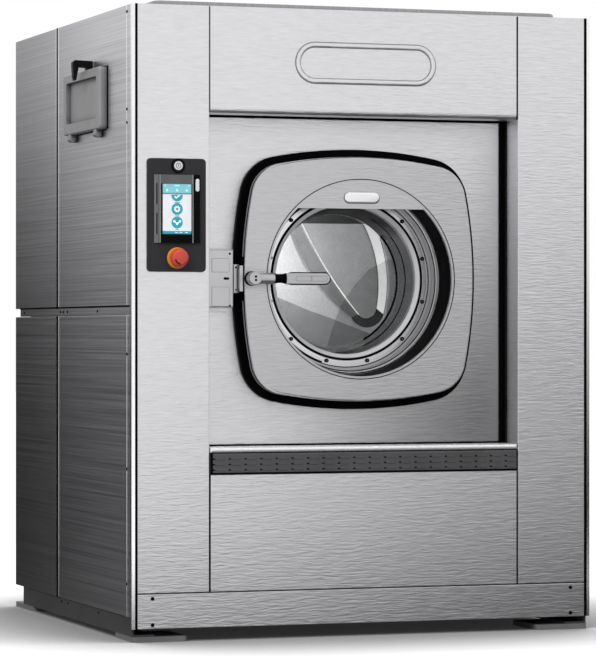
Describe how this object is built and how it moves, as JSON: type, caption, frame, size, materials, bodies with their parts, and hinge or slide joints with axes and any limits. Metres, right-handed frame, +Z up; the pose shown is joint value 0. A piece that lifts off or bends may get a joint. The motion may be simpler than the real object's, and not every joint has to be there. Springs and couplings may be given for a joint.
{
  "type": "washer-extractor",
  "caption": "Floor-standing stainless washer-extractor with a hinged porthole door, spinning drum and belt drive, touch controls, emergency stop and a side soap hatch.",
  "frame": {"origin": "on the floor, midway between the four anchor holes, under the middle of the cabinet", "axes": "+X to the machine's right seen from the front, +Y from the door to the back, +Z up"},
  "size_m": [1.548, 1.492, 1.918],
  "materials": {
    "brushed": "horizontally brushed stainless sheet",
    "side_sheet": "horizontally brushed side sheet",
    "bright_steel": "polished stainless",
    "frame_paint": "black frame paint",
    "base_paint": "dark grey base paint",
    "charcoal": "charcoal plate",
    "grille_dark": "charcoal powder coat",
    "black_rubber": "black rubber",
    "door_black": "black moulding",
    "screen": "lit touch display",
    "smoked": "smoked clear window",
    "white_plastic": "white grip",
    "hinge_grey": "grey hinge strip",
    "button_metal": "plain metal button",
    "stop_yellow": "amber yellow collar",
    "stop_red": "red head",
    "stem_black": "black stem",
    "hatch_grey": "moulded grey",
    "hook_black": "black hook",
    "hopper_plastic": "pale hopper plastic",
    "handle_metal": "satin handle",
    "door_glass": "clear door glass",
    "drum_steel": "perforated drum steel",
    "tub_steel": "tub steel",
    "cast_grey": "grey casting",
    "belt_rubber": "belt rubber",
    "motor_paint": "motor paint",
    "drain_plastic": "grey drain pipe",
    "brass": "brass valve"
  },
  "bodies": {
    "cabinet": {"foot_plates": "base_paint", "base_frame": "base_paint", "upper_frame": "frame_paint", "pillar_left": "brushed", "pillar_right": "brushed", "header_panel": "brushed", "front_sill": "bright_steel", "vent_grille": "grille_dark", "lower_front_panel": "brushed", "plinth_panel": "brushed", "left_front_upper": "side_sheet", "left_front_lower": "side_sheet", "left_rear_panels": "side_sheet", "right_side_panels": "side_sheet", "side_mid_rails": "side_sheet", "rear_panel_upper": "side_sheet", "rear_panel_lower": "side_sheet", "top_cover": "brushed", "control_panel": "charcoal", "display_module": "screen", "cover_hinge": "hinge_grey", "stop_collar": "stop_yellow", "dispenser_hopper": "hopper_plastic", "flap_hinge": "hatch_grey", "door_panel": "brushed", "door_gasket": "black_rubber", "seam_seals": "black_rubber", "lock_housing": "brushed", "hinge_brackets": "brushed", "outer_tub": "tub_steel", "bearing_housing": "cast_grey", "drive_belts": "belt_rubber", "motor": "motor_paint", "drain_valve": "drain_plastic", "inlet_valves": "brass", "inverter_box": "motor_paint"},
    "door": {"door_shell": "door_black", "door_face": "brushed", "window_plate": "brushed", "tunnel_rings": "bright_steel", "glass_ring": "bright_steel", "glass_bowl": "door_glass", "door_hardware": "bright_steel"},
    "door_handle": {"handle_hub": "handle_metal", "handle_sleeve": "black_rubber", "handle_lever": "handle_metal"},
    "door_latch": {"latch_bolt": "bright_steel"},
    "drum": {"inner_drum": "drum_steel", "drum_shaft": "cast_grey", "drum_pulley": "cast_grey"},
    "motor_rotor": {"motor_pulley": "cast_grey"},
    "cover": {"screen_cover": "smoked", "screen_grip": "white_plastic"},
    "button": {"push_button": "button_metal"},
    "stop_stem": {"stop_plunger": "stem_black"},
    "stop_mushroom": {"stop_head": "stop_red"},
    "soap_flap": {"dispenser_flap": "hatch_grey", "flap_hook": "hook_black"},
    "drain_flap": {"drain_disc": "brass"}
  },
  "joints": [
    {"name": "door_hinge", "type": "hinge", "parent": "cabinet", "child": "door", "pos_m": [0.372, -0.618, 1.085], "axis": [0, 0, 1], "range_deg": [0, 110]},
    {"name": "handle_turn", "type": "hinge", "parent": "door", "child": "door_handle", "pos_m": [-0.355, -0.66, 1.085], "axis": [0, 1, 0], "range_deg": [0, 90]},
    {"name": "latch_slide", "type": "slide", "parent": "door", "child": "door_latch", "axis": [-1, 0, 0], "range_m": [0, 0.0322]},
    {"name": "drum_spin", "type": "hinge", "parent": "cabinet", "child": "drum", "pos_m": [0, 0, 1.085], "axis": [0, 1, 0], "continuous": true},
    {"name": "motor_spin", "type": "hinge", "parent": "cabinet", "child": "motor_rotor", "pos_m": [0.38, 0.6, 0.305], "axis": [0, 1, 0], "continuous": true},
    {"name": "cover_hinge_turn", "type": "hinge", "parent": "cabinet", "child": "cover", "pos_m": [-0.664, -0.711, 1.29], "axis": [0, 0, -1], "range_deg": [0, 110]},
    {"name": "button_push", "type": "slide", "parent": "cabinet", "child": "button", "axis": [0, 1, 0], "range_m": [0, 0.003], "stiffness_N_per_m": 600},
    {"name": "stop_push", "type": "slide", "parent": "cabinet", "child": "stop_stem", "axis": [0, 1, 0], "range_m": [0, 0.006]},
    {"name": "stop_twist", "type": "hinge", "parent": "stop_stem", "child": "stop_mushroom", "pos_m": [-0.602, -0.72, 1.144], "axis": [0, 1, 0], "range_deg": [0, 45]},
    {"name": "flap_turn", "type": "hinge", "parent": "cabinet", "child": "soap_flap", "pos_m": [-0.753, -0.215, 1.531], "axis": [0, -1, 0], "range_deg": [0, 80]},
    {"name": "drain_turn", "type": "hinge", "parent": "cabinet", "child": "drain_flap", "pos_m": [0, -0.06, 0.29], "axis": [1, 0, 0], "range_deg": [0, 90]}
  ],
  "couplings": [
    {"joint": "latch_slide", "follows": "handle_turn", "m_per_rad": 0.020372},
    {"joint": "motor_spin", "follows": "drum_spin", "ratio": 4.5472}
  ]
}
